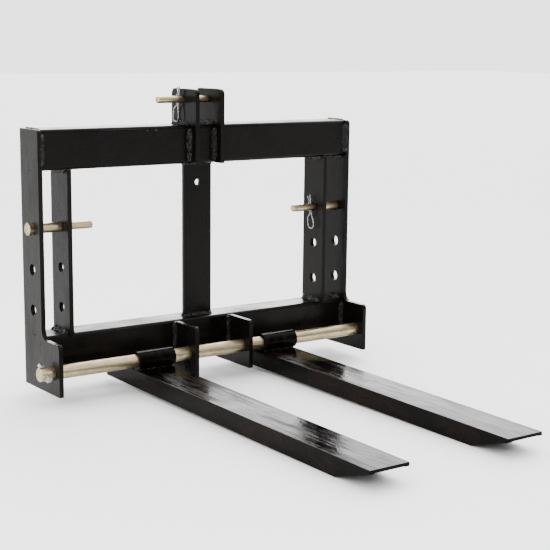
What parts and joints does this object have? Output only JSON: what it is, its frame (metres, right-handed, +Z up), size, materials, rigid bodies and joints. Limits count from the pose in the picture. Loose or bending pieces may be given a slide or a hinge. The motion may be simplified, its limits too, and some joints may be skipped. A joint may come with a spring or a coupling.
{
  "type": "pallet fork attachment",
  "caption": "Welded three-point-hitch carriage with two channel forks hung from a cross shaft, side clevises and a top link clevis with clipped pins",
  "frame": {"origin": "on the ground under the forks' lowest edges, at the middle of the whole object's width and length", "axes": "+X across the carriage to the right seen from the forks, forks point to -Y, +Y towards the tractor, +Z up"},
  "size_m": [1.051, 1.1354, 0.7983],
  "materials": {
    "black_paint": "satin",
    "gloss_black_paint": "gloss",
    "shaft_steel": "satin",
    "zinc_hardware": "satin",
    "clip_wire": "gloss"
  },
  "bodies": {
    "carriage": {"upper_beam": "black_paint", "lower_beam": "black_paint", "centre_post": "black_paint", "left_end_plate": "black_paint", "right_end_plate": "black_paint", "left_inner_plate": "black_paint", "right_inner_plate": "black_paint", "left_top_link_ear": "black_paint", "right_top_link_ear": "black_paint", "left_shaft_bracket": "black_paint", "right_shaft_bracket": "black_paint"},
    "shaft": {"cross_shaft": "shaft_steel", "shaft_cross_bolt": "zinc_hardware", "shaft_cross_nut": "zinc_hardware", "shaft_end_washer": "shaft_steel"},
    "left_sleeve": {"left_fork_sleeve": "gloss_black_paint"},
    "right_sleeve": {"right_fork_sleeve": "gloss_black_paint"},
    "left_fork": {"left_fork_blade": "gloss_black_paint"},
    "right_fork": {"right_fork_blade": "gloss_black_paint"},
    "left_pin": {"left_lower_hitch_pin": "shaft_steel", "left_pin_clip": "clip_wire"},
    "right_pin": {"right_lower_hitch_pin": "shaft_steel", "right_pin_clip": "clip_wire"},
    "top_pin": {"top_link_pin": "shaft_steel", "top_pin_clip": "clip_wire"}
  },
  "joints": [
    {"name": "shaft_turn", "type": "hinge", "parent": "carriage", "child": "shaft", "pos_m": [0.0125, 0.40491, 0.08347], "axis": [1, 0, 0], "continuous": true},
    {"name": "left_fork_slide", "type": "slide", "parent": "carriage", "child": "left_sleeve", "axis": [-1, 0, 0], "range_m": [-0.051, 0.229]},
    {"name": "right_fork_slide", "type": "slide", "parent": "carriage", "child": "right_sleeve", "axis": [1, 0, 0], "range_m": [-0.051, 0.229]},
    {"name": "left_fork_fold", "type": "hinge", "parent": "left_sleeve", "child": "left_fork", "pos_m": [-0.1895, 0.40491, 0.08347], "axis": [-1, 0, 0], "range_deg": [0, 97]},
    {"name": "right_fork_fold", "type": "hinge", "parent": "right_sleeve", "child": "right_fork", "pos_m": [0.2145, 0.40491, 0.08347], "axis": [-1, 0, 0], "range_deg": [0, 97]},
    {"name": "left_pin_spin", "type": "hinge", "parent": "carriage", "child": "left_pin", "pos_m": [-0.4075, 0.50891, 0.44147], "axis": [1, 0, 0], "continuous": true},
    {"name": "right_pin_spin", "type": "hinge", "parent": "carriage", "child": "right_pin", "pos_m": [0.4325, 0.50891, 0.44147], "axis": [1, 0, 0], "continuous": true},
    {"name": "top_pin_spin", "type": "hinge", "parent": "carriage", "child": "top_pin", "pos_m": [0.0125, 0.51291, 0.76247], "axis": [1, 0, 0], "continuous": true}
  ]
}
